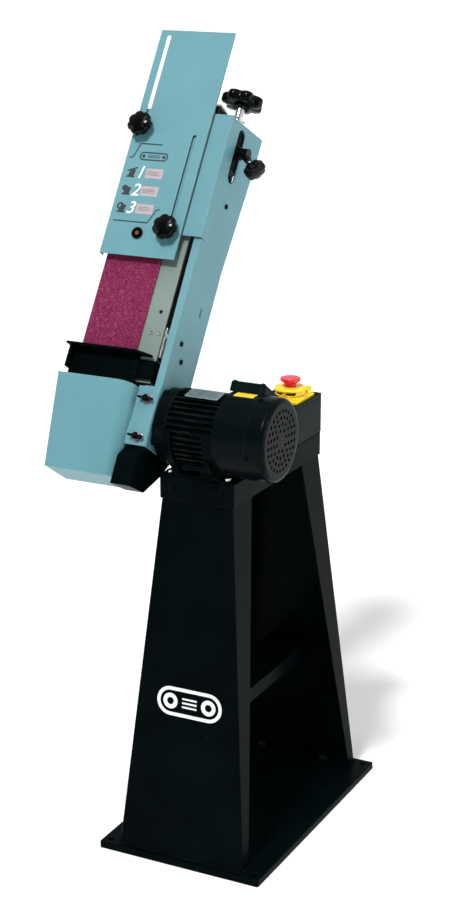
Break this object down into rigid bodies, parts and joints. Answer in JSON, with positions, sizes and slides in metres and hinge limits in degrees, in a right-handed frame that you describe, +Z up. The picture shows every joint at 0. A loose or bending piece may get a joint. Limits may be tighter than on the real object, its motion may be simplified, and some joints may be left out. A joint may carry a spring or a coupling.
{
  "type": "pedestal belt sander",
  "caption": "Pedestal belt sander: motor-driven belt on a tilting arm with idler, platen, work stop, sliding cover and drum guard, on a folded steel stand with a stop switch.",
  "frame": {"origin": "centre of the floor-bolt pattern on the base plate's underside", "axes": "+Z up, +X towards the motor's fan end, -Y towards the operator"},
  "size_m": [0.385, 0.4884, 1.2887],
  "materials": {
    "black_paint": "glossy black enamel",
    "blue_grey_paint": "satin blue-grey enamel",
    "bare_steel": "ground steel",
    "zinc": "bright zinc plate",
    "platen_grey": "grey ground steel",
    "black_plastic": "black phenolic",
    "green_black_plastic": "dark green-black moulding",
    "yellow_plastic": "yellow moulding",
    "red_plastic": "red moulding",
    "green_plastic": "green moulding",
    "cast_aluminium": "machined aluminium",
    "abrasive": "dark raspberry abrasive cloth",
    "rubber": "black rubber",
    "lamination": "laminated steel with copper heads",
    "motor_paint": "semi-gloss black enamel",
    "nylon": "black nylon"
  },
  "bodies": {
    "stand": {"base_plate": "black_paint", "front_leg_panel": "black_paint", "rear_leg_panel": "black_paint", "cross_brace": "black_paint", "stand_cap": "black_paint", "stand_bolts": "zinc", "stand_screws": "black_paint", "pivot_saddle": "black_paint", "clamp_jaw": "black_paint", "switch_box": "green_black_plastic", "switch_box_lid": "green_black_plastic", "power_gland": "nylon", "switch_base": "yellow_plastic"},
    "lock_lever": {"tilt_lock_lever": "black_paint"},
    "flap": {"stop_flap": "yellow_plastic"},
    "mushroom": {"stop_mushroom": "red_plastic"},
    "start_key": {"start_button": "green_plastic"},
    "stop_key": {"stop_button": "red_plastic"},
    "head": {"side_channel": "blue_grey_paint", "upper_hood": "blue_grey_paint", "cover_studs": "zinc", "tension_plate": "zinc", "platen": "platen_grey", "platen_brackets": "zinc", "sanding_belt": "abrasive", "drive_housing": "black_paint", "head_screws": "zinc", "motor_housing": "motor_paint", "drive_end_bell": "motor_paint", "rear_end_shield": "motor_paint", "fan_cowl": "motor_paint", "terminal_box": "green_black_plastic", "terminal_lid": "green_black_plastic", "motor_gland": "nylon", "stator": "lamination", "motor_bearings": "bare_steel"},
    "rotor": {"rotor_shaft": "bare_steel", "rotor_core": "lamination", "cooling_fan": "nylon", "drive_drum": "cast_aluminium", "drum_tyre": "rubber", "drum_bolt": "bare_steel"},
    "carriage": {"idler_carriage": "black_paint", "idler_axle": "bare_steel", "axle_nut": "zinc"},
    "idler": {"idler_roller": "cast_aluminium", "idler_bearings": "bare_steel"},
    "tracking": {"tracking_knob": "black_plastic"},
    "tension": {"tension_rod": "zinc", "star_knob": "black_plastic"},
    "cover": {"sliding_cover": "blue_grey_paint", "cover_plug": "black_plastic"},
    "knob_upper": {"cover_knob_upper": "black_plastic"},
    "knob_lower": {"cover_knob_lower": "black_plastic"},
    "guard": {"drum_guard": "blue_grey_paint"},
    "wing_upper": {"wing_screw_upper": "black_plastic"},
    "wing_lower": {"wing_screw_lower": "black_plastic"},
    "stop": {"work_stop": "black_paint", "stop_bracket": "black_paint"}
  },
  "joints": [
    {"name": "head_tilt", "type": "hinge", "parent": "stand", "child": "head", "pos_m": [0, -0.126, 0.708], "axis": [1, 0, 0], "range_deg": [-57, 33]},
    {"name": "lock_lever_turn", "type": "hinge", "parent": "stand", "child": "lock_lever", "pos_m": [0.032, -0.17882, 0.65518], "axis": [0, -0.7071, 0.7071], "range_deg": [0, 80]},
    {"name": "flap_lift", "type": "hinge", "parent": "stand", "child": "flap", "pos_m": [0.03, 0.1455, 0.7165], "axis": [-1, 0, 0], "range_deg": [0, 95]},
    {"name": "mushroom_press", "type": "slide", "parent": "flap", "child": "mushroom", "axis": [0, 0, 1], "range_m": [-0.003, 0], "stiffness_N_per_m": 400, "springref_m": 0.002},
    {"name": "start_press", "type": "slide", "parent": "stand", "child": "start_key", "axis": [0, 0, 1], "range_m": [-0.0015, 0], "stiffness_N_per_m": 500, "springref_m": 0.001},
    {"name": "stop_press", "type": "slide", "parent": "stand", "child": "stop_key", "axis": [0, 0, 1], "range_m": [-0.0015, 0], "stiffness_N_per_m": 500, "springref_m": 0.001},
    {"name": "drum_spin", "type": "hinge", "parent": "head", "child": "rotor", "pos_m": [0, -0.126, 0.708], "axis": [1, 0, 0], "continuous": true},
    {"name": "tension_turn", "type": "hinge", "parent": "head", "child": "tension", "pos_m": [-0.084, 0.15817, 1.16853], "axis": [0, 0.5446, 0.8387], "range_deg": [0, 1818]},
    {"name": "tension_slide", "type": "slide", "parent": "head", "child": "carriage", "axis": [0, 0.5446, 0.8387], "range_m": [-0.01, 0]},
    {"name": "idler_spin", "type": "hinge", "parent": "carriage", "child": "idler", "pos_m": [-0.178, 0.11489, 1.10188], "axis": [1, 0, 0], "continuous": true},
    {"name": "tracking_turn", "type": "hinge", "parent": "carriage", "child": "tracking", "pos_m": [-0.052, 0.11216, 1.09769], "axis": [0.7314, -0.3714, -0.572], "range_deg": [-360, 360]},
    {"name": "cover_slide", "type": "slide", "parent": "head", "child": "cover", "axis": [0, 0.5446, 0.8387], "range_m": [-0.15, 0]},
    {"name": "knob_upper_turn", "type": "hinge", "parent": "head", "child": "knob_upper", "pos_m": [-0.2185, 0.07377, 1.14047], "axis": [0, -0.8387, 0.5446], "range_deg": [0, 720]},
    {"name": "knob_lower_turn", "type": "hinge", "parent": "head", "child": "knob_lower", "pos_m": [-0.122, -0.021, 0.99454], "axis": [0, -0.8387, 0.5446], "range_deg": [0, 720]},
    {"name": "guard_lift_off", "type": "slide", "parent": "head", "child": "guard", "axis": [0, -0.8387, 0.5446], "range_m": [0, 0.13]},
    {"name": "wing_upper_turn", "type": "hinge", "parent": "guard", "child": "wing_upper", "pos_m": [-0.085, -0.16237, 0.75666], "axis": [0, -0.8387, 0.5446], "range_deg": [0, 720]},
    {"name": "wing_lower_turn", "type": "hinge", "parent": "guard", "child": "wing_lower", "pos_m": [-0.085, -0.19613, 0.70466], "axis": [0, -0.8387, 0.5446], "range_deg": [0, 720]},
    {"name": "stop_adjust", "type": "slide", "parent": "head", "child": "stop", "axis": [0, -0.8387, 0.5446], "range_m": [-0.002, 0.009]}
  ],
  "couplings": [
    {"joint": "idler_spin", "follows": "drum_spin", "ratio": 1.3056},
    {"joint": "tension_turn", "follows": "tension_slide", "rad_per_m": -3141.6}
  ]
}
